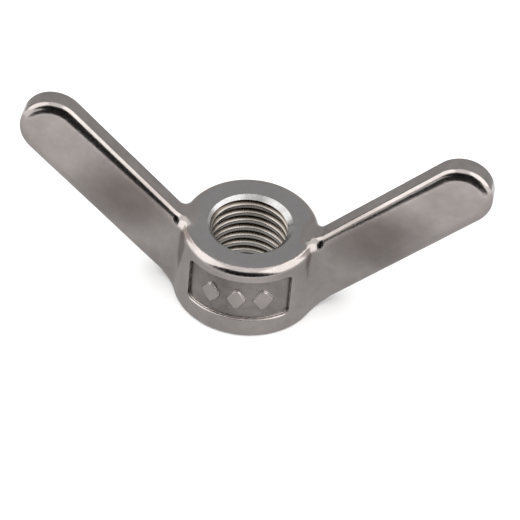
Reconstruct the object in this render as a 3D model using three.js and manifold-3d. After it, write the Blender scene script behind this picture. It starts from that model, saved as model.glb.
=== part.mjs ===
// Cast wing nut, M16 x 2, right-hand thread.
// Millimetres, +Z up. The origin is on the thread axis, in the plane of the seat face.
// The wings lie in the XZ plane, along +X and -X. The recessed plaque faces -Y.

import * as THREE from "three";
import { mergeVertices } from "three/addons/utils/BufferGeometryUtils.js";
import Module from "manifold-3d";

const wasm = await Module();
wasm.setup();

// Hub
const HUB_HEIGHT = 16;
const SEAT_RADIUS = 14.1; // outer radius of the wall at the seat
const TOP_RADIUS = 13; // outer radius of the wall where the rim rounding starts
const SEAT_EDGE = 0.5; // chamfer round the seat face
const RIM_ROUNDING = 1.4;
const HUB_SEGMENTS = 72;

// Thread
const THREAD_MAJOR_RADIUS = 8;
const THREAD_MINOR_RADIUS = 7.1; // the upper limit of the 6H tolerance
const THREAD_PITCH = 2;
const FLANK_ANGLE = THREE.MathUtils.degToRad(30);
const CHAMFER_RADIUS = 8.1;
const THREAD_RUNOUT = 2; // turns that the tap runs past each face
const THREAD_SEGMENTS = 48;

// Wings: rounded bars that rise from the foot of the hub
const WING_ANGLE = THREE.MathUtils.degToRad(45.5);
const WING_LENGTH = 60.8; // from the thread axis, along the bar
const WING_WIDTH = 12.6; // at the root
const TIP_WIDTH = 13;
const TIP_UPPER_RADIUS = 5.85; // the tip's lower corner takes up the rest of the width
const WING_THICKNESS = 5.2;
const WING_DROP = 5.9; // the bar's centreline meets the thread axis this far below the seat
const WING_ROOT = 8.5; // where the bar starts inside the hub wall, along its centreline
const EDGE_ROUNDING = 1.35;
const WING_FOOT = 0.8; // the wings stay this far above the seat

// Fillets between the hub wall and the wing faces
const ROOT_FILLET = 2.8;
const FILLET_INSET = 1.2; // the fillets stay this far inside the wing's outline
const FILLET_BURIAL = 3; // how far the fillet's web reaches into the hub

// Plaque on the front of the hub
const PLAQUE_HALF_WIDTH = 9.6;
const PLAQUE_BOTTOM = 4.1;
const PLAQUE_TOP = 13;
const PLAQUE_CORNER = 1;
const PLAQUE_DEPTH = 0.6;
const LOZENGE_HEIGHT = 5.4;
const LOZENGE_WIDTH = 3.8;
const LOZENGE_SPACING = 5;
const LOZENGE_RELIEF = 0.45;

const CLEAR = 1; // how far a cutter runs past the surface that it cuts
const WELD = 1e-4; // vertices closer than this are one

function toSolid(geometry) {
  const bare = geometry.clone();
  bare.deleteAttribute("normal");
  bare.deleteAttribute("uv");
  const merged = mergeVertices(bare, WELD);
  const solidMesh = new wasm.Mesh({
    numProp: 3,
    vertProperties: new Float32Array(merged.attributes.position.array),
    triVerts: new Uint32Array(merged.index.array),
  });
  return new wasm.Manifold(solidMesh);
}

function toGeometry(solid) {
  const solidMesh = solid.getMesh();
  const geometry = new THREE.BufferGeometry();
  geometry.setAttribute("position", new THREE.BufferAttribute(solidMesh.vertProperties, 3));
  geometry.setIndex(new THREE.BufferAttribute(solidMesh.triVerts, 1));
  geometry.computeVertexNormals();
  return geometry;
}

// A lathe about Z, from a profile of [radius, z] points that starts and ends on the axis.
function turned(profile, segments) {
  const points = profile.map(([radius, z]) => new THREE.Vector2(radius, z));
  const geometry = new THREE.LatheGeometry(points, segments);
  geometry.rotateX(Math.PI / 2);
  return toSolid(geometry);
}

// A prism whose outline lies in the XZ plane and which spans from yStart towards +Y.
function prismAlongY(shape, yStart, depth, curveSegments = 8) {
  const geometry = new THREE.ExtrudeGeometry(shape, { depth, bevelEnabled: false, curveSegments });
  geometry.rotateX(Math.PI / 2);
  geometry.translate(0, yStart + depth, 0);
  return toSolid(geometry);
}

function wallRadius(z) {
  const share = z / (HUB_HEIGHT - RIM_ROUNDING);
  return THREE.MathUtils.lerp(SEAT_RADIUS, TOP_RADIUS, share);
}

function hubBlank() {
  const steps = 5;
  const profile = [[0, 0], [SEAT_RADIUS - SEAT_EDGE, 0], [wallRadius(SEAT_EDGE), SEAT_EDGE]];
  for (let step = 0; step <= steps; step += 1) {
    const turn = (step / steps) * (Math.PI / 2);
    const radius = TOP_RADIUS - RIM_ROUNDING * (1 - Math.cos(turn));
    profile.push([radius, HUB_HEIGHT - RIM_ROUNDING * (1 - Math.sin(turn))]);
  }
  profile.push([0, HUB_HEIGHT]);
  return turned(profile, HUB_SEGMENTS);
}

// Half the bar's width, which grows a little towards the tip.
function halfWidth(u) {
  const share = (u - WING_ROOT) / (WING_LENGTH - WING_ROOT);
  return THREE.MathUtils.lerp(WING_WIDTH, TIP_WIDTH, share) / 2;
}

// The bar's outline in its own plane: u along the bar, v across it.
// Each point carries its outward normal, so that the edge rounding can step inwards.
function wingOutline() {
  const bodySteps = 7;
  const upper = TIP_UPPER_RADIUS;
  const lower = TIP_WIDTH - TIP_UPPER_RADIUS;
  const lowerEnd = WING_LENGTH - lower;
  const upperEnd = WING_LENGTH - upper;
  const outline = [];
  for (let step = 0; step < bodySteps; step += 1) {
    const u = THREE.MathUtils.lerp(WING_ROOT, lowerEnd, step / bodySteps);
    outline.push({ u, v: -halfWidth(u), normal: [0, -1] });
  }
  outline.push(...tipArc(lowerEnd, lower, -Math.PI / 2, 0));
  outline.push(...tipArc(upperEnd, upper, 0, Math.PI / 2).slice(1));
  for (let step = bodySteps - 1; step >= 0; step -= 1) {
    const u = THREE.MathUtils.lerp(WING_ROOT, upperEnd, step / bodySteps);
    outline.push({ u, v: halfWidth(u), normal: [0, 1] });
  }
  return outline;
}

// A quarter of the tip. Both quarters have their centres on one line along the bar.
function tipArc(centreU, radius, from, to) {
  const steps = 7;
  const centreV = TIP_WIDTH / 2 - TIP_UPPER_RADIUS;
  const points = [];
  for (let step = 0; step <= steps; step += 1) {
    const turn = THREE.MathUtils.lerp(from, to, step / steps);
    const normal = [Math.cos(turn), Math.sin(turn)];
    points.push({ u: centreU + radius * normal[0], v: centreV + radius * normal[1], normal });
  }
  return points;
}

// From bar coordinates to the nut's frame.
function placeOnWing(u, v, y) {
  const cosine = Math.cos(WING_ANGLE);
  const sine = Math.sin(WING_ANGLE);
  return [u * cosine - v * sine, y, u * sine + v * cosine - WING_DROP];
}

// The bar is a stack of loops from its -Y face round the edge to its +Y face.
function wingBlank() {
  const outline = wingOutline();
  const arcSteps = 5;
  const loops = [];
  for (const side of [-1, 1]) {
    for (let step = 0; step <= arcSteps; step += 1) {
      const turn = ((side < 0 ? arcSteps - step : step) / arcSteps) * (Math.PI / 2);
      loops.push(outline.map(({ u, v, normal }) => {
        const inset = EDGE_ROUNDING * (1 - Math.cos(turn));
        const y = side * (WING_THICKNESS / 2 - EDGE_ROUNDING * (1 - Math.sin(turn)));
        return placeOnWing(u - normal[0] * inset, v - normal[1] * inset, y);
      }));
    }
  }
  const count = outline.length;
  const index = [];
  for (let loop = 0; loop + 1 < loops.length; loop += 1) {
    for (let here = 0; here < count; here += 1) {
      const next = (here + 1) % count;
      const a = loop * count + here;
      const b = loop * count + next;
      index.push(a, b + count, b, a, a + count, b + count);
    }
  }
  const flat = outline.map(({ u, v }) => new THREE.Vector2(u, v));
  const last = (loops.length - 1) * count;
  for (const [a, b, c] of THREE.ShapeUtils.triangulateShape(flat, [])) {
    index.push(a, b, c, last + a, last + c, last + b);
  }
  const geometry = new THREE.BufferGeometry();
  geometry.setAttribute("position", new THREE.Float32BufferAttribute(loops.flat(2), 3));
  geometry.setIndex(index);
  return toSolid(geometry);
}

// The wing's side view, a little smaller than the bar, as a wide prism.
function filletZone() {
  const half = WING_WIDTH / 2 - FILLET_INSET;
  const corners = [[0, -half], [WING_LENGTH / 2, -half], [WING_LENGTH / 2, half], [0, half]];
  const shape = new THREE.Shape(corners.map(([u, v]) => {
    const [x, , z] = placeOnWing(u, v, 0);
    return new THREE.Vector2(x, z);
  }));
  return prismAlongY(shape, -SEAT_RADIUS, 2 * SEAT_RADIUS);
}

// An upright web with a hollow face that joins the hub wall to one face of a wing.
function rootFillet(side) {
  const wall = (SEAT_RADIUS + TOP_RADIUS) / 2;
  const face = WING_THICKNESS / 2;
  const centreY = face + ROOT_FILLET;
  const centreX = Math.sqrt((wall + ROOT_FILLET) ** 2 - centreY ** 2);
  const wallTurn = Math.atan2(-centreY, -centreX);
  const touchY = centreY + ROOT_FILLET * Math.sin(wallTurn);
  const steps = 6;
  const shape = new THREE.Shape();
  shape.moveTo(wall - FILLET_BURIAL, 0);
  shape.lineTo(centreX, 0);
  for (let step = 0; step <= steps; step += 1) {
    const turn = THREE.MathUtils.lerp(-Math.PI / 2, wallTurn, step / steps);
    shape.lineTo(centreX + ROOT_FILLET * Math.cos(turn), centreY + ROOT_FILLET * Math.sin(turn));
  }
  shape.lineTo(wall - FILLET_BURIAL, touchY);
  const geometry = new THREE.ExtrudeGeometry(shape, { depth: HUB_HEIGHT, bevelEnabled: false });
  const web = toSolid(geometry);
  return side > 0 ? web : web.mirror([0, 1, 0]);
}

function rightWing() {
  const zone = filletZone();
  const webs = rootFillet(1).add(rootFillet(-1)).intersect(zone);
  const reach = 2 * WING_LENGTH;
  const sides = 12;
  const aboveFoot = turned([[0, WING_FOOT], [reach, WING_FOOT], [reach, reach], [0, reach]], sides);
  return wingBlank().add(webs).intersect(aboveFoot);
}

// The plaque is sunk straight along Y, as it leaves a mould, down to a floor that follows the wall.
function plaqueCutter() {
  const shape = new THREE.Shape();
  const [w, b, t, c] = [PLAQUE_HALF_WIDTH, PLAQUE_BOTTOM, PLAQUE_TOP, PLAQUE_CORNER];
  shape.moveTo(-w + c, b);
  shape.lineTo(w - c, b);
  shape.absarc(w - c, b + c, c, -Math.PI / 2, 0, false);
  shape.lineTo(w, t - c);
  shape.absarc(w - c, t - c, c, 0, Math.PI / 2, false);
  shape.lineTo(-w + c, t);
  shape.absarc(-w + c, t - c, c, Math.PI / 2, Math.PI, false);
  shape.lineTo(-w, b + c);
  shape.absarc(-w + c, b + c, c, Math.PI, 1.5 * Math.PI, false);
  const cornerSteps = 3;
  const window = prismAlongY(shape, -SEAT_RADIUS - CLEAR, SEAT_RADIUS, cornerSteps);
  return window.subtract(wallCore(PLAQUE_DEPTH));
}

// The hub wall moved inwards by the given depth.
function wallCore(depth) {
  const low = wallRadius(0) - depth;
  const high = wallRadius(HUB_HEIGHT) - depth;
  return turned([[0, 0], [low, 0], [high, HUB_HEIGHT], [0, HUB_HEIGHT]], HUB_SEGMENTS);
}

// A plain raised lozenge on the plaque's floor.
function lozenge(x) {
  const middle = (PLAQUE_BOTTOM + PLAQUE_TOP) / 2;
  const shape = new THREE.Shape();
  shape.moveTo(x - LOZENGE_WIDTH / 2, middle);
  shape.lineTo(x, middle - LOZENGE_HEIGHT / 2);
  shape.lineTo(x + LOZENGE_WIDTH / 2, middle);
  shape.lineTo(x, middle + LOZENGE_HEIGHT / 2);
  const bar = prismAlongY(shape, -SEAT_RADIUS, SEAT_RADIUS - CHAMFER_RADIUS - CLEAR);
  return bar.intersect(wallCore(PLAQUE_DEPTH - LOZENGE_RELIEF));
}

// A screw with the nut's internal profile. Its rows are helices through the profile's corners.
function screwCutter() {
  const slope = (THREAD_MAJOR_RADIUS - THREAD_MINOR_RADIUS) * Math.tan(FLANK_ANGLE);
  const rootFlat = THREAD_PITCH / 8;
  const profile = [
    [THREAD_MAJOR_RADIUS, 0],
    [THREAD_MAJOR_RADIUS, rootFlat],
    [THREAD_MINOR_RADIUS, rootFlat + slope],
    [THREAD_MINOR_RADIUS, THREAD_PITCH - slope],
  ];
  const turns = Math.ceil(HUB_HEIGHT / THREAD_PITCH) + 2 * THREAD_RUNOUT;
  const start = -THREAD_RUNOUT * THREAD_PITCH;
  const rows = turns * profile.length;
  const positions = [];
  for (let row = 0; row <= rows; row += 1) {
    const [radius, rise] = profile[row % profile.length];
    const base = start + Math.floor(row / profile.length) * THREAD_PITCH + rise;
    for (let column = 0; column < THREAD_SEGMENTS; column += 1) {
      const share = column / THREAD_SEGMENTS;
      const angle = share * 2 * Math.PI;
      positions.push(radius * Math.cos(angle), radius * Math.sin(angle), base + share * THREAD_PITCH);
    }
  }
  const vertex = (row, column) => {
    const wrapped = column === THREAD_SEGMENTS;
    return wrapped ? (row + profile.length) * THREAD_SEGMENTS : row * THREAD_SEGMENTS + column;
  };
  const index = [];
  const lastRow = rows - profile.length;
  for (let row = 0; row < lastRow; row += 1) {
    for (let column = 0; column < THREAD_SEGMENTS; column += 1) {
      const a = vertex(row, column);
      const b = vertex(row, column + 1);
      const c = vertex(row + 1, column + 1);
      const d = vertex(row + 1, column);
      index.push(a, b, c, a, c, d);
    }
  }
  const lowCentre = positions.length / 3;
  positions.push(0, 0, start);
  positions.push(0, 0, start + turns * THREAD_PITCH);
  capScrew(index, vertex, lowCentre, 0, profile.length, false);
  capScrew(index, vertex, lowCentre + 1, lastRow, profile.length, true);
  const geometry = new THREE.BufferGeometry();
  geometry.setAttribute("position", new THREE.Float32BufferAttribute(positions, 3));
  geometry.setIndex(index);
  return toSolid(geometry);
}

// Closes one end of the screw with a fan: once round the helix, then along the step at its seam.
function capScrew(index, vertex, centre, row, rowsPerTurn, facesUp) {
  const rim = [];
  for (let column = 0; column <= THREAD_SEGMENTS; column += 1) {
    rim.push(vertex(row, column));
  }
  for (let step = rowsPerTurn - 1; step > 0; step -= 1) {
    rim.push(vertex(row + step, 0));
  }
  rim.forEach((here, place) => {
    const next = rim[(place + 1) % rim.length];
    index.push(centre, facesUp ? here : next, facesUp ? next : here);
  });
}

// The chamfered mouths of the bore, at 45 degrees.
function mouthCutter() {
  const cone = CHAMFER_RADIUS + CLEAR;
  const low = [[0, -CLEAR], [cone, -CLEAR], [0, CHAMFER_RADIUS]];
  const high = [[0, HUB_HEIGHT - CHAMFER_RADIUS], [cone, HUB_HEIGHT + CLEAR], [0, HUB_HEIGHT + CLEAR]];
  return turned(low, HUB_SEGMENTS).add(turned(high, HUB_SEGMENTS));
}

function wingNut() {
  const right = rightWing();
  const left = right.mirror([1, 0, 0]);
  let body = hubBlank().add(right).add(left);
  body = body.subtract(plaqueCutter());
  for (const place of [-1, 0, 1]) {
    body = body.add(lozenge(place * LOZENGE_SPACING));
  }
  body = body.subtract(mouthCutter());
  return body.subtract(screwCutter());
}

const steel = new THREE.MeshStandardMaterial({ color: 0x9a958f, roughness: 0.35, metalness: 1 });
const body = new THREE.Mesh(toGeometry(wingNut()), steel);
body.name = "wing_nut_body";

const group = new THREE.Group();
group.add(body);

export default group;
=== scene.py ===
import math

import bpy
import numpy as np
from mathutils import Matrix, Vector


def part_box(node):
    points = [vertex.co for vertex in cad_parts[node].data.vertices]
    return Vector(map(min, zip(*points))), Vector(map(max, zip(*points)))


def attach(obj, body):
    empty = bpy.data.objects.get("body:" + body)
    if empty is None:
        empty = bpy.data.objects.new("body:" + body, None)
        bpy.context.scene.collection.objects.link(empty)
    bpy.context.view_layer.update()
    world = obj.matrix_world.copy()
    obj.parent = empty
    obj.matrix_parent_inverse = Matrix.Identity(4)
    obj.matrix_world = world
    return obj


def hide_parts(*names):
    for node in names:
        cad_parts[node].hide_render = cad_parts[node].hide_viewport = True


MM = 0.001  # the shapes below are worked out in millimetres

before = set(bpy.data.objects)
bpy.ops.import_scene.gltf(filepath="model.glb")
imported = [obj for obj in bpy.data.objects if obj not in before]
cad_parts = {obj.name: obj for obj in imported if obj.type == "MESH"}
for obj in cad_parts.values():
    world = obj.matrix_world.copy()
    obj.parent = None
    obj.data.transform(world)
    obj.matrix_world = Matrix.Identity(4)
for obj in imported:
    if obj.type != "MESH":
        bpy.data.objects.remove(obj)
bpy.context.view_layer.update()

# The nut's sizes. The overall ones come from the frame.
BOX_LOW, BOX_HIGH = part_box("wing_nut_body")
HALF_SPAN = BOX_HIGH.x / MM
OVERALL_HEIGHT = BOX_HIGH.z / MM
SEAT_RADIUS = 14.1
TOP_RADIUS = 13.0
HUB_HEIGHT = 16.0
RIM_ROUNDING = 1.7
RIM_STAND = 0.12  # how much of the cast rim the facing cut took away
SEAT_ROUNDING = 0.45

WING_ANGLE = math.radians(45.5)
WING_WIDTH = 12.6  # at the root
WING_ROOT = 8.5
TIP_WIDTH = 13.0
TIP_UPPER = 5.85  # radius of the tip's upper corner
TIP_LOWER = TIP_WIDTH - TIP_UPPER
TIP_CENTRE = TIP_WIDTH / 2 - TIP_UPPER  # both corners' centres lie on this line along the bar
WING_THICKNESS = 5.2
EDGE_ROUNDING = 1.3  # across the bar's thickness
EDGE_REACH = 2.3  # how far the same rounding reaches over the bar's face
WING_FOOT = 0.8
FOOT_ROUNDING = 0.7
LOWER_END = (HALF_SPAN - TIP_LOWER + TIP_CENTRE * math.sin(WING_ANGLE)) / math.cos(WING_ANGLE)
UPPER_END = LOWER_END + TIP_LOWER - TIP_UPPER
WING_TOP = UPPER_END * math.sin(WING_ANGLE) + TIP_CENTRE * math.cos(WING_ANGLE) + TIP_UPPER
WING_DROP = WING_TOP - OVERALL_HEIGHT
ROOT_FILLET = 2.8  # between the wings and the hub's wall
TOP_FILLET = 2.2  # the same, at the hub's top
FILLET_FROM = 4.5  # how far below the hub's top the fillet starts to change
FILLET_TO = 0.5  # and where it has changed
WING_CROWN = 0.06  # how far each face stands out along the bar's middle

PLAQUE_HALF_WIDTH = 9.6
PLAQUE_BOTTOM = 4.1
PLAQUE_TOP = 13.0
PLAQUE_CORNER = 1.0
PLAQUE_DEPTH = 0.6
PLAQUE_LIP = 0.3
LOZENGE_WIDTH = 3.8
LOZENGE_HEIGHT = 5.4
LOZENGE_SPACING = 5.0
LOZENGE_RELIEF = 0.45
LOZENGE_EDGE = 0.2
LOZENGE_CORNER = 0.5
LOZENGE_FILLET = 0.12
LOZENGE_ROOT = 3.0  # how deep a lozenge reaches into the body

THREAD_MAJOR = 8.0
THREAD_MINOR = 7.1
THREAD_PITCH = 2.0
CHAMFER_RADIUS = 8.1
PROFILE_STEPS = 28  # points of the thread's profile in one pitch
ROUND_STEPS = 192  # facets round a full turn

CELL = 0.22  # grid step of the cast body's mesh
BLOCK = 6  # cells in one coarse block
BLOCK_REACH = 1.6  # blocks whose centre is nearer the surface than this many blocks are sampled
CAST_WAVE = 0.025  # height of the casting's slow waviness
LONG_WAVE, SHORT_WAVE = 7.0, 3.1  # size of its waves
FLAT_CALM = 1.2  # how far from the plane of the hub's top the waviness is back
RIM_CALM = 2.0  # how far inside the rim it fades out on the hub's top

# Finish. Places and sizes are in metres here, as the materials have them.
CLOUD_SIZE = 95.0  # clouds of colour in a metre
CLOUD_DETAIL, CLOUD_ROUGHNESS = 6.0, 0.70
CAST_GRAIN = 2600.0  # grains in a metre
TAP_GRAIN = 3600.0
GRAIN_DETAIL, GRAIN_ROUGHNESS = 3.0, 0.6
ROOT_SHADE_CENTRE = (0.023, 0.0032, 0.0205)
ROOT_SHADE_REACH = (0.013, 0.0026, 0.011)
CREASE_ANGLE = math.radians(28)  # sharper edges than this stay sharp on the machined faces

# The camera stands where the photo was taken from. It was fitted to the nut's outline.
CAMERA_TURN = (6.6, 44.63, 4.86)  # azimuth, elevation and roll in degrees
CAMERA_PLACE = (47.627, -391.290, 395.725)
CAMERA_LENS = 201.65
CAMERA_SENSOR = 36

# Surroundings, in metres.
FLOOR_HALF = 3.0
FLOOR_TONE = 0.86
CONTACT_REACH = (0.15, 0.05)  # half axes of the oval of painted floor shadow, darker towards the nut, that only the steel's reflections see
CONTACT_LIFT = 0.0002
WORLD_MIRRORED = 0.06
WORLD_ON_FLOOR = 1.05
WORLD_SEEN = 0.9


# ---------------------------------------------------------------- shapes as distances
def lerp(a, b, share):
    return a + (b - a) * share


def smoothstep(low, high, x):
    t = np.clip((x - low) / (high - low), 0, 1)
    return t * t * (3 - 2 * t)


def meet(a, b, r):
    """Inside both, with a rounding of radius r where the two surfaces meet."""
    inner = np.minimum(np.maximum(a, b) + r, 0)
    return inner + np.hypot(np.maximum(a + r, 0), np.maximum(b + r, 0)) - r


def meet_oval(a, b, reach_a, reach_b):
    """Inside both, with an oval rounding that reaches further over one surface than over the other."""
    qa, qb = np.maximum(a + reach_a, 0), np.maximum(b + reach_b, 0)
    size = np.hypot(qa / reach_a, qb / reach_b)
    steep = np.hypot(qa / reach_a**2, qb / reach_b**2)
    return np.where(size > 0, (size - 1) * size / np.maximum(steep, 1e-9), np.maximum(a, b))


def join(a, b, r):
    """Inside either, with a fillet of radius r in the corner between them."""
    outer = np.maximum(np.minimum(a, b) - r, 0)
    return outer - np.hypot(np.maximum(r - a, 0), np.maximum(r - b, 0)) + r


def wall_distance(r, z):
    """Signed distance from the hub's slightly tapered wall."""
    lean = (SEAT_RADIUS - TOP_RADIUS) / HUB_HEIGHT
    return (r - SEAT_RADIUS + lean * z) / math.hypot(1, lean)


def hub(r, z):
    side = wall_distance(r, z)
    body = meet(side, z - HUB_HEIGHT - RIM_STAND, RIM_ROUNDING)
    return np.maximum(meet(body, -z, SEAT_ROUNDING), z - HUB_HEIGHT)


def wing_place(x, z):
    along = np.abs(x)
    up = z + WING_DROP
    u = along * math.cos(WING_ANGLE) + up * math.sin(WING_ANGLE)
    v = up * math.cos(WING_ANGLE) - along * math.sin(WING_ANGLE)
    return u, v


def tip_side(u, v, end, radius, half_width):
    """One long edge of the bar and its quarter of the tip."""
    return np.where(u > end, np.hypot(u - end, v) - radius, v - half_width)


def wings(x, y, z):
    u, v = wing_place(x, z)
    half_width = lerp(WING_WIDTH, TIP_WIDTH, np.clip((u - WING_ROOT) / (LOWER_END - WING_ROOT), 0, 1)) / 2
    upper = tip_side(u, v - TIP_CENTRE, UPPER_END, TIP_UPPER, half_width - TIP_CENTRE)
    lower = tip_side(u, TIP_CENTRE - v, LOWER_END, TIP_LOWER, half_width + TIP_CENTRE)
    outline = np.where(v > TIP_CENTRE, upper, lower)
    crown = WING_CROWN * np.clip(v / half_width, -1, 1) ** 2
    bar = meet_oval(outline, np.abs(y) - WING_THICKNESS / 2 + crown, EDGE_REACH, EDGE_ROUNDING)
    return meet(bar, WING_FOOT - z, FOOT_ROUNDING)


def box_outline(x, z, half_width, bottom, top, corner):
    middle = (bottom + top) / 2
    dx = np.abs(x) - half_width + corner
    dz = np.abs(z - middle) - (top - bottom) / 2 + corner
    return np.hypot(np.maximum(dx, 0), np.maximum(dz, 0)) + np.minimum(np.maximum(dx, dz), 0) - corner


def lozenge_outline(x, z):
    middle = (PLAQUE_BOTTOM + PLAQUE_TOP) / 2
    place = np.clip(np.round(x / LOZENGE_SPACING), -1, 1) * LOZENGE_SPACING
    half_w, half_h = LOZENGE_WIDTH / 2, LOZENGE_HEIGHT / 2
    reach = np.abs(x - place) / half_w + np.abs(z - middle) / half_h - 1
    flat = reach * half_w * half_h / math.hypot(half_w, half_h)
    ends = np.hypot(x - place, z - middle) - half_h + LOZENGE_CORNER
    return meet(flat, ends, LOZENGE_CORNER)


def plaque(d, x, y, z, r):
    """Sinks the plaque into the body d, and adds the lozenges on its floor."""
    depth = -wall_distance(r, z)
    window = box_outline(x, z, PLAQUE_HALF_WIDTH, PLAQUE_BOTTOM, PLAQUE_TOP, PLAQUE_CORNER)
    sunk = np.maximum(np.maximum(window, depth - PLAQUE_DEPTH), y)
    cut = meet(d, -sunk, PLAQUE_LIP)
    raised = PLAQUE_DEPTH - LOZENGE_RELIEF
    relief = meet(np.maximum(lozenge_outline(x, z), y), raised - depth, LOZENGE_EDGE)
    relief = np.maximum(relief, -d - LOZENGE_ROOT)
    return np.where(y < 0, join(cut, relief, LOZENGE_FILLET), d)


def waves(seed, size, points):
    """Smooth random values between -1 and 1, about `size` apart, at points (n, 3)."""
    rng = np.random.RandomState(seed)
    table = rng.uniform(-1, 1, (24, 24, 24))
    p = points / size + 100.0
    i = np.floor(p).astype(int)
    f = p - i
    f = f * f * (3 - 2 * f)
    total = np.zeros(len(points))
    for corner in range(8):
        step = np.array([corner & 1, corner >> 1 & 1, corner >> 2 & 1])
        weight = np.prod(np.where(step, f, 1 - f), axis=1)
        j = (i + step) % 24
        total += weight * table[j[:, 0], j[:, 1], j[:, 2]]
    return total


def casting(points):
    """Signed distance of the cast body, before the bore is cut."""
    x, y, z = points.T
    r = np.hypot(x, y)
    body, bars = hub(r, z), wings(x, y, z)
    fillet = lerp(ROOT_FILLET, TOP_FILLET, smoothstep(HUB_HEIGHT - FILLET_FROM, HUB_HEIGHT - FILLET_TO, z))
    slow = CAST_WAVE * (waves(3, LONG_WAVE, points) + 0.5 * waves(5, SHORT_WAVE, points) + 1.5)
    off_plane = smoothstep(0, FLAT_CALM, np.abs(z - HUB_HEIGHT))
    slow *= np.maximum(off_plane, smoothstep(TOP_RADIUS - RIM_CALM, TOP_RADIUS, r))
    return np.maximum(plaque(join(body, bars, fillet), x, y, z, r) + slow, -z)


def slope(points, step=0.02):
    """Gradient of the casting's distance."""
    out = np.empty_like(points)
    for axis in range(3):
        move = np.zeros(3)
        move[axis] = step
        out[:, axis] = (casting(points + move) - casting(points - move)) / (2 * step)
    return out


# ---------------------------------------------------------------- meshing
def sample_grid():
    """The distance on a fine grid, worked out only near the surface."""
    margin = 3 * CELL
    low = np.array([BOX_LOW.x, BOX_LOW.y, BOX_LOW.z]) / MM - margin
    high = np.array([BOX_HIGH.x, BOX_HIGH.y, BOX_HIGH.z]) / MM + margin
    blocks = np.ceil((high - low) / (CELL * BLOCK)).astype(int) + 1
    centres = [low[a] + (np.arange(blocks[a]) + 0.5) * CELL * BLOCK - CELL / 2 for a in range(3)]
    coarse_points = np.stack(np.meshgrid(*centres, indexing="ij"), -1).reshape(-1, 3)
    coarse = casting(coarse_points).reshape(blocks)
    near = np.abs(coarse) < CELL * BLOCK * BLOCK_REACH
    field = np.where(coarse < 0, -1.0, 1.0)
    for axis in range(3):
        near = near.repeat(BLOCK, axis)
        field = field.repeat(BLOCK, axis)
    where = np.argwhere(near)
    field[near] = casting(low + where * CELL)
    return field, low


def surface_net(field, low):
    """A quad mesh of the zero surface: one vertex in each cell that it passes through."""
    shape = np.array(field.shape)
    cells, places, quads = [], [], []
    inside = field < 0
    for axis in range(3):
        head = [slice(None)] * 3
        tail = [slice(None)] * 3
        head[axis], tail[axis] = slice(0, -1), slice(1, None)
        first, second = inside[tuple(head)], inside[tuple(tail)]
        at = np.argwhere(first != second)
        f0 = field[tuple(head)][tuple(at.T)]
        f1 = field[tuple(tail)][tuple(at.T)]
        point = at.astype(float)
        point[:, axis] += f0 / (f0 - f1)
        b, c = (axis + 1) % 3, (axis + 2) % 3
        ring = []
        for db, dc in ((-1, -1), (0, -1), (0, 0), (-1, 0)):
            cell = at.copy()
            cell[:, b] += db
            cell[:, c] += dc
            number = np.ravel_multi_index(tuple(cell.T), tuple(shape))
            ring.append(number)
            cells.append(number)
            places.append(point)
        ring = np.stack(ring, 1)
        outward = f0 < 0
        ring[~outward] = ring[~outward][:, ::-1]
        quads.append(ring)
    cells, places, quads = np.concatenate(cells), np.concatenate(places), np.concatenate(quads)
    names, slot = np.unique(cells, return_inverse=True)
    count = np.bincount(slot)
    points = np.stack([np.bincount(slot, places[:, a]) / count for a in range(3)], 1)
    return low + points * CELL, np.searchsorted(names, quads)


def settle(points, rounds=3):
    """Moves the net's vertices onto the surface."""
    for _ in range(rounds):
        g = slope(points)
        size = np.maximum((g * g).sum(1), 0.2)
        step = casting(points) / size
        points = points - np.clip(step, -CELL, CELL)[:, None] * g
    return points


def mesh_object(name, points, faces):
    mesh = bpy.data.meshes.new(name)
    mesh.from_pydata((points * MM).tolist(), [], [list(map(int, f)) for f in faces])
    mesh.update()
    thing = bpy.data.objects.new(name, mesh)
    bpy.context.scene.collection.objects.link(thing)
    return thing


def turned(name, profile, count=ROUND_STEPS):
    """A lathe about Z, from [radius, z] points that start and end on the axis."""
    points, faces = [(0, 0, profile[0][1]), (0, 0, profile[-1][1])], []
    inner = profile[1:-1]
    for radius, z in inner:
        for k in range(count):
            turn = 2 * math.pi * k / count
            points.append((radius * math.cos(turn), radius * math.sin(turn), z))
    for k in range(count):
        n = (k + 1) % count
        faces.append((0, 2 + n, 2 + k))
        last = 2 + (len(inner) - 1) * count
        faces.append((1, last + k, last + n))
        for row in range(len(inner) - 1):
            a = 2 + row * count
            faces.append((a + k, a + n, a + count + n, a + count + k))
    return mesh_object(name, np.array(points, float), faces)


def thread_profile():
    """Radius against rise over one pitch: rounded root, 60 degree flanks, rounded crest."""
    depth = THREAD_MAJOR - THREAD_MINOR
    slope_rise = depth * math.tan(math.radians(30))
    root = THREAD_PITCH / 8
    rises = np.linspace(0, THREAD_PITCH, PROFILE_STEPS + 1)[:-1]
    middle = root / 2
    away = np.abs((rises - middle + THREAD_PITCH / 2) % THREAD_PITCH - THREAD_PITCH / 2)
    radii = THREAD_MAJOR - np.clip((away - root / 2) / slope_rise, 0, 1) * depth
    soft = (np.roll(radii, 1) + 2 * radii + np.roll(radii, -1)) / 4
    return rises, soft


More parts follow.
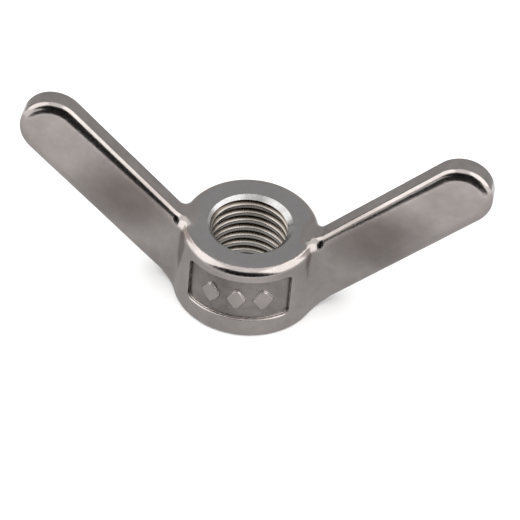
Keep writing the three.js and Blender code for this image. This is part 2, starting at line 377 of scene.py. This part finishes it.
def screw(name, count=ROUND_STEPS):
    """The tap: a screw whose rows are helices through the profile."""
    rises, radii = thread_profile()
    per_turn = len(rises)
    turns = int(math.ceil(HUB_HEIGHT / THREAD_PITCH)) + 4
    start = -2 * THREAD_PITCH
    rows = turns * per_turn
    k = np.arange(rows + 1)
    base = start + (k // per_turn) * THREAD_PITCH + rises[k % per_turn]
    share = np.arange(count) / count
    radius = np.repeat(radii[k % per_turn][:, None], count, 1)
    x = radius * np.cos(2 * math.pi * share)
    y = radius * np.sin(2 * math.pi * share)
    z = base[:, None] + share * THREAD_PITCH
    points = np.stack([x, y, z], -1).reshape(-1, 3).tolist()

    def vertex(row, column):
        return (row + per_turn) * count if column == count else row * count + column

    faces = []
    last = rows - per_turn
    for row in range(last):
        for column in range(count):
            low_pair = vertex(row, column), vertex(row, column + 1)
            high_pair = vertex(row + 1, column + 1), vertex(row + 1, column)
            faces.append(low_pair + high_pair)
    for row, centre_z, up in ((0, start, False), (last, start + turns * THREAD_PITCH, True)):
        centre = len(points)
        points.append([0.0, 0.0, centre_z])
        rim = [vertex(row, column) for column in range(count + 1)]
        rim += [vertex(row + step, 0) for step in range(per_turn - 1, 0, -1)]
        for here, there in zip(rim, rim[1:] + rim[:1]):
            faces.append((centre, here, there) if up else (centre, there, here))
    return mesh_object(name, np.array(points), faces)


def subtract(target, cutter):
    cut = target.modifiers.new(cutter.name, "BOOLEAN")
    cut.operation = "DIFFERENCE"
    cut.solver = "MANIFOLD"
    cut.object = cutter
    bpy.context.view_layer.update()
    graph = bpy.context.evaluated_depsgraph_get()
    made = bpy.data.meshes.new_from_object(target.evaluated_get(graph))
    target.modifiers.clear()
    old, target.data = target.data, made
    bpy.data.meshes.remove(old)
    bpy.data.objects.remove(cutter)


# ---------------------------------------------------------------- finish: cast and machined steel
def noise(tree, place, size, detail, roughness):
    """Noise in 3-D at the points place. size is how many grains fit in a metre."""
    made = tree.nodes.new("ShaderNodeTexNoise")
    made.inputs["Scale"].default_value = size
    made.inputs["Detail"].default_value = detail
    made.inputs["Roughness"].default_value = roughness
    tree.links.new(place, made.inputs["Vector"])
    return made.outputs["Fac"]


def vector_step(tree, operation, source):
    made = tree.nodes.new("ShaderNodeVectorMath")
    made.operation = operation
    tree.links.new(source, made.inputs[0])
    return made


def ramp(tree, source, stops):
    """Colours or grey values along a 0 to 1 value. stops are (position, value) pairs."""
    made = tree.nodes.new("ShaderNodeValToRGB")
    band = made.color_ramp
    while len(band.elements) < len(stops):
        band.elements.new(0.5)
    for element, (position, value) in zip(band.elements, stops):
        element.position = position
        element.color = (*value, 1) if isinstance(value, tuple) else (value, value, value, 1)
    tree.links.new(source, made.inputs["Fac"])
    return made.outputs["Color"]


def multiply(tree, a, b):
    blend = tree.nodes.new("ShaderNodeMix")
    blend.data_type, blend.blend_type = "RGBA", "MULTIPLY"
    blend.inputs["Factor"].default_value = 1.0
    tree.links.new(a, blend.inputs[6])
    tree.links.new(b, blend.inputs[7])
    return blend.outputs[2]


def root_nearness(tree, place):
    """1 on the wings' faces near the hub, where the photo is darker, falling to 0 around there: the mask of
    a painted shade.
    """
    folded = vector_step(tree, "ABSOLUTE", place)
    placed = tree.nodes.new("ShaderNodeMapping")
    placed.inputs["Location"].default_value = [-c / r for c, r in zip(ROOT_SHADE_CENTRE, ROOT_SHADE_REACH)]
    placed.inputs["Scale"].default_value = [1 / r for r in ROOT_SHADE_REACH]
    tree.links.new(folded.outputs[0], placed.inputs["Vector"])
    near = tree.nodes.new("ShaderNodeTexGradient")
    near.gradient_type = "SPHERICAL"
    tree.links.new(placed.outputs[0], near.inputs[0])
    return near.outputs["Fac"]


def groove_depth(tree, place):
    """0 on the thread's crest, 1 at its root: the distance from the axis between the two."""
    split = tree.nodes.new("ShaderNodeSeparateXYZ")
    flat = tree.nodes.new("ShaderNodeCombineXYZ")
    tree.links.new(place, split.inputs[0])
    for axis in ("X", "Y"):
        tree.links.new(split.outputs[axis], flat.inputs[axis])
    radius = vector_step(tree, "LENGTH", flat.outputs[0])
    span = tree.nodes.new("ShaderNodeMapRange")
    span.inputs["From Min"].default_value = THREAD_MINOR * MM
    span.inputs["From Max"].default_value = THREAD_MAJOR * MM
    tree.links.new(radius.outputs["Value"], span.inputs["Value"])
    return span.outputs[0]


def steel(name, colours, roughness, grain_size, grain_depth, painted_groove_shade=None, painted_root_shade=None):
    """Bare steel: slow clouds of colour, and fine grain in roughness and relief.

    The optional ramps paint shade into the colour: the groove ramp darkens the thread by depth, the root
    ramp the wings' faces near the hub.
    """
    made = bpy.data.materials.new(name)
    made.use_nodes = True
    tree = made.node_tree
    tree.nodes.clear()
    out = tree.nodes.new("ShaderNodeOutputMaterial")
    shader = tree.nodes.new("ShaderNodeBsdfPrincipled")
    shader.inputs["Metallic"].default_value = 1.0
    tree.links.new(shader.outputs[0], out.inputs[0])
    place = tree.nodes.new("ShaderNodeTexCoord").outputs["Object"]
    clouds = noise(tree, place, CLOUD_SIZE, CLOUD_DETAIL, CLOUD_ROUGHNESS)
    colour = ramp(tree, clouds, colours)
    # painted shade: darker towards the root of the thread's grooves
    if painted_groove_shade:
        colour = multiply(tree, colour, ramp(tree, groove_depth(tree, place), painted_groove_shade))
    # painted shade: darker on the wings' faces near the hub
    if painted_root_shade:
        colour = multiply(tree, colour, ramp(tree, root_nearness(tree, place), painted_root_shade))
    tree.links.new(colour, shader.inputs["Base Color"])
    grain = noise(tree, place, grain_size, GRAIN_DETAIL, GRAIN_ROUGHNESS)
    tree.links.new(ramp(tree, grain, roughness), shader.inputs["Roughness"])
    bump = tree.nodes.new("ShaderNodeBump")
    bump.inputs["Strength"].default_value = 1.0
    bump.inputs["Distance"].default_value = grain_depth
    tree.links.new(grain, bump.inputs["Height"])
    tree.links.new(bump.outputs["Normal"], shader.inputs["Normal"])


steel(
    "cast_steel",
    colours=[(0.30, (0.350, 0.316, 0.302)), (0.70, (0.490, 0.446, 0.428))],
    roughness=[(0.3, 0.14), (0.7, 0.26)],
    grain_size=CAST_GRAIN,
    grain_depth=6e-6,
    # painted shade on the wings' faces near the hub
    painted_root_shade=[(0.0, (1.0, 1.0, 1.0)), (0.65, (0.56, 0.54, 0.53))],
)
steel(
    "faced_steel",
    colours=[(0.30, (0.365, 0.355, 0.353)), (0.70, (0.425, 0.415, 0.413))],
    roughness=[(0.3, 0.21), (0.7, 0.26)],
    grain_size=CAST_GRAIN,
    grain_depth=6e-7,
)
steel(
    "tapped_steel",
    colours=[(0.30, (0.36, 0.33, 0.30)), (0.70, (0.48, 0.46, 0.44))],
    roughness=[(0.3, 0.20), (0.7, 0.34)],
    grain_size=TAP_GRAIN,
    grain_depth=5e-6,
    # painted shade, darker towards the thread's root
    painted_groove_shade=[(0.10, (1.0, 1.0, 1.0)), (0.40, (0.42, 0.37, 0.32)), (0.95, (0.16, 0.125, 0.10))],
)
steel(
    "rough_steel",
    colours=[(0.34, (0.17, 0.153, 0.144)), (0.66, (0.35, 0.322, 0.306))],
    roughness=[(0.3, 0.26), (0.7, 0.42)],
    grain_size=CAST_GRAIN,
    grain_depth=2.5e-5,
)
steel(
    "mouth_steel",
    colours=[(0.34, (0.36, 0.35, 0.345)), (0.66, (0.62, 0.61, 0.605))],
    roughness=[(0.3, 0.22), (0.7, 0.42)],
    grain_size=CAST_GRAIN,
    grain_depth=2e-5,
)
FINISHES = ["cast_steel", "faced_steel", "tapped_steel", "rough_steel", "mouth_steel"]
CAST, FACED, TAPPED, ROUGH, MOUTH = range(len(FINISHES))


# ---------------------------------------------------------------- the nut
def build_nut():
    points, quads = surface_net(*sample_grid())
    points = settle(points)
    nut = mesh_object("wing_nut", points, quads)
    cone = CHAMFER_RADIUS + 1
    above = HUB_HEIGHT + 1
    low_cone = turned("mouth_low", [(0, -1), (cone, -1), (0, CHAMFER_RADIUS)])
    high_cone = turned("mouth_high", [(0, HUB_HEIGHT - CHAMFER_RADIUS), (cone, above), (0, above)])
    for cutter in (low_cone, high_cone, screw("tap")):
        subtract(nut, cutter)
    return nut


def finish_faces(nut):
    """Gives each face its finish."""
    mesh = nut.data
    mesh.materials.clear()
    for name in FINISHES:
        mesh.materials.append(bpy.data.materials[name])
    count = len(mesh.polygons)
    centre = np.empty(count * 3, np.float32)
    normal = np.empty(count * 3, np.float32)
    mesh.polygons.foreach_get("center", centre)
    mesh.polygons.foreach_get("normal", normal)
    centre, normal = centre.reshape(-1, 3) / MM, normal.reshape(-1, 3)
    r = np.hypot(centre[:, 0], centre[:, 1])
    level = np.abs(normal[:, 2]) > 0.999
    on_plane = (np.abs(centre[:, 2] - HUB_HEIGHT) < 0.01) | (np.abs(centre[:, 2]) < 0.01)
    faced = level & on_plane
    bore = (r < CHAMFER_RADIUS + 0.05) & ~faced
    x, z = centre[:, 0], centre[:, 2]
    window = box_outline(x, z, PLAQUE_HALF_WIDTH, PLAQUE_BOTTOM, PLAQUE_TOP, PLAQUE_CORNER)
    depth = -wall_distance(r, z)
    floor = (centre[:, 1] < 0) & (window < 0) & (depth > PLAQUE_DEPTH - 0.06) & (depth < PLAQUE_DEPTH + 0.3)
    mouth = bore & (np.abs(np.abs(normal[:, 2]) - math.sqrt(0.5)) < 0.01) & (r > THREAD_MINOR - 0.05)
    kind = np.select([mouth, bore, faced, floor], [MOUTH, TAPPED, FACED, ROUGH], CAST).astype(np.int32)
    mesh.polygons.foreach_set("material_index", kind)
    mesh.polygons.foreach_set("use_smooth", np.ones(count, bool))
    mesh.update()
    return kind


def shade(nut, kind):
    """Normals from the true surface on the casting, and by angle on the machined faces."""
    mesh = nut.data
    corners = len(mesh.loops)
    vertex = np.empty(corners, np.int32)
    mesh.loops.foreach_get("vertex_index", vertex)
    co = np.empty(len(mesh.vertices) * 3, np.float32)
    mesh.vertices.foreach_get("co", co)
    co = co.reshape(-1, 3).astype(float) / MM
    start = np.empty(len(mesh.polygons), np.int32)
    total = np.empty(len(mesh.polygons), np.int32)
    mesh.polygons.foreach_get("loop_start", start)
    mesh.polygons.foreach_get("loop_total", total)
    face_of = np.repeat(np.arange(len(total)), total)
    loop_kind = kind[face_of]
    bpy.context.view_layer.objects.active = nut
    nut.select_set(True)
    bpy.ops.object.shade_smooth_by_angle(angle=CREASE_ANGLE)
    mesh = nut.data
    own = np.empty(corners * 3, np.float32)
    mesh.corner_normals.foreach_get("vector", own)
    own = own.reshape(-1, 3)
    g = slope(co)
    g /= np.linalg.norm(g, axis=1)[:, None] + 1e-12
    normals = own.copy()
    cast = (loop_kind == CAST) | (loop_kind == ROUGH)
    normals[cast] = g[vertex[cast]]
    flat = loop_kind == FACED
    face_normal = np.empty(len(mesh.polygons) * 3, np.float32)
    mesh.polygons.foreach_get("normal", face_normal)
    normals[flat] = face_normal.reshape(-1, 3)[face_of[flat]]
    mesh.normals_split_custom_set(normals.tolist())


nut = build_nut()
kinds = finish_faces(nut)
shade(nut, kinds)
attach(nut, "root")
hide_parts("wing_nut_body")


# ---------------------------------------------------------------- camera, floor and light
def add_camera():
    data = bpy.data.cameras.new("camera")
    camera = bpy.data.objects.new("camera", data)
    bpy.context.scene.collection.objects.link(camera)
    azimuth, elevation, roll = map(math.radians, CAMERA_TURN)
    level = math.cos(elevation)
    back = Vector((math.sin(azimuth) * level, -math.cos(azimuth) * level, math.sin(elevation)))
    right = Vector((math.cos(azimuth), math.sin(azimuth), 0))
    up = back.cross(right)
    turned_right = right * math.cos(roll) + up * math.sin(roll)
    turned_up = up * math.cos(roll) - right * math.sin(roll)
    axes = Matrix((turned_right, turned_up, back)).transposed()
    camera.matrix_world = Matrix.Translation(Vector(CAMERA_PLACE) * MM) @ axes.to_4x4()
    data.sensor_width = CAMERA_SENSOR
    data.lens = CAMERA_LENS
    data.clip_start, data.clip_end = 0.01, 20
    bpy.context.scene.camera = camera


def add_floor():
    size = FLOOR_HALF
    corners = np.array([(-size, -size, 0), (size, -size, 0), (size, size, 0), (-size, size, 0)]) / MM
    floor = mesh_object("floor", corners, [(0, 1, 2, 3)])
    made = bpy.data.materials.new("pale_floor")
    made.use_nodes = True
    shader = made.node_tree.nodes["Principled BSDF"]
    shader.inputs["Base Color"].default_value = (FLOOR_TONE, FLOOR_TONE, FLOOR_TONE, 1)
    shader.inputs["Roughness"].default_value = 0.9
    shader.inputs["Specular IOR Level"].default_value = 0.0
    floor.data.materials.append(made)


def add_key(place, width, height, glow):
    """The soft lamp that lights the floor. glow is its brightness, seen head on."""
    data = bpy.data.lights.new("key", "AREA")
    data.shape = "RECTANGLE"
    data.size, data.size_y = width, height
    data.energy = glow * math.pi * width * height
    lamp = bpy.data.objects.new("key", data)
    bpy.context.scene.collection.objects.link(lamp)
    lamp.location = place
    lamp.visible_glossy = False


def glow_material(name, glow):
    made = bpy.data.materials.new(name)
    made.use_nodes = True
    tree = made.node_tree
    tree.nodes.clear()
    light = tree.nodes.new("ShaderNodeEmission")
    light.inputs["Strength"].default_value = glow
    tree.links.new(light.outputs[0], tree.nodes.new("ShaderNodeOutputMaterial").inputs[0])
    return made, tree, light


def add_card(name, corners, glow):
    """A soft card that the steel reflects, and that nothing else sees."""
    card = mesh_object(name, np.array(corners) / MM, [(0, 1, 2, 3)])
    made, tree, light = glow_material(name, glow)
    card.data.materials.append(made)
    card.visible_camera = False
    card.visible_diffuse = False
    card.visible_shadow = False
    return card, tree, light


def add_contact_card(glow_stops):
    """A painted shadow of the floor near the nut, as the steel reflects it: an oval that darkens towards
    the nut.
    """
    card, tree, light = add_card("contact_card", [(-1, -1, 0), (1, -1, 0), (1, 1, 0), (-1, 1, 0)], 1.0)
    card.scale = (*CONTACT_REACH, 1.0)
    card.location = (0.0, 0.0, CONTACT_LIFT)
    away = tree.nodes.new("ShaderNodeTexGradient")
    away.gradient_type = "SPHERICAL"
    tree.links.new(tree.nodes.new("ShaderNodeTexCoord").outputs["Object"], away.inputs[0])
    tree.links.new(ramp(tree, away.outputs["Fac"], glow_stops), light.inputs["Color"])


def wall_card(name, low, high, near, far, glow):
    """A slanted card between two level edges. low and high are (x, z); near and far are its ends in y."""
    (low_x, low_z), (high_x, high_z) = low, high
    low_edge = [(low_x, near, low_z), (low_x, far, low_z)]
    high_edge = [(high_x, far, high_z), (high_x, near, high_z)]
    add_card(name, low_edge + high_edge, glow)


def back_wall(name, low, high, half_width, glow):
    """A slanted card behind the nut. low and high are (y, z)."""
    corners = [(-half_width, *low), (half_width, *low), (half_width, *high), (-half_width, *high)]
    add_card(name, corners, glow)


def add_light():
    add_key(place=(0.0, -0.22, 0.80), width=1.1, height=1.44, glow=1.6)
    wall_card("right_card", low=(0.95, 0.02), high=(0.32, 0.80), near=-0.75, far=0.40, glow=2.3)
    wall_card("left_card", low=(-0.95, 0.02), high=(-0.32, 0.80), near=-0.75, far=0.30, glow=2.2)
    wall_card("top_card", low=(0.30, 0.80), high=(-0.30, 0.80), near=-0.94, far=0.45, glow=1.3)
    back_wall("back_card", low=(1.10, 0.0), high=(0.50, 0.85), half_width=1.3, glow=0.5)
    back_wall("back_floor_card", low=(0.055, 0.0006), high=(1.10, 0.0006), half_width=1.3, glow=0.45)
    far_edge = [(-0.95, -2.80, 0.001), (2.10, -2.80, 0.001)]
    near_edge = [(0.12, -0.06, 0.001), (-0.10, -0.06, 0.001)]
    add_card("front_card", far_edge + near_edge, glow=0.02)
    # painted shadow of the floor near the nut, seen only in reflections
    add_contact_card([(0.0, 0.95), (0.28, 0.84), (0.52, 0.70), (0.74, 0.64), (1.0, 0.42)])


def add_world():
    """Pale all round for the background and the floor; near black where the steel mirrors it."""
    world = bpy.data.worlds.new("world")
    bpy.context.scene.world = world
    world.use_nodes = True
    world.cycles.sampling_method = "NONE"
    tree = world.node_tree
    mirrored = tree.nodes["Background"]
    mirrored.inputs["Strength"].default_value = WORLD_MIRRORED
    path = tree.nodes.new("ShaderNodeLightPath")
    shown = mirrored.outputs[0]
    for kind, brightness in (("Is Diffuse Ray", WORLD_ON_FLOOR), ("Is Camera Ray", WORLD_SEEN)):
        pale = tree.nodes.new("ShaderNodeBackground")
        pale.inputs["Color"].default_value = (brightness, brightness, brightness, 1)
        mix = tree.nodes.new("ShaderNodeMixShader")
        tree.links.new(path.outputs[kind], mix.inputs[0])
        tree.links.new(shown, mix.inputs[1])
        tree.links.new(pale.outputs[0], mix.inputs[2])
        shown = mix.outputs[0]
    tree.links.new(shown, tree.nodes["World Output"].inputs["Surface"])


add_camera()
add_floor()
add_light()
add_world()
bpy.context.scene.view_settings.view_transform = "Standard"
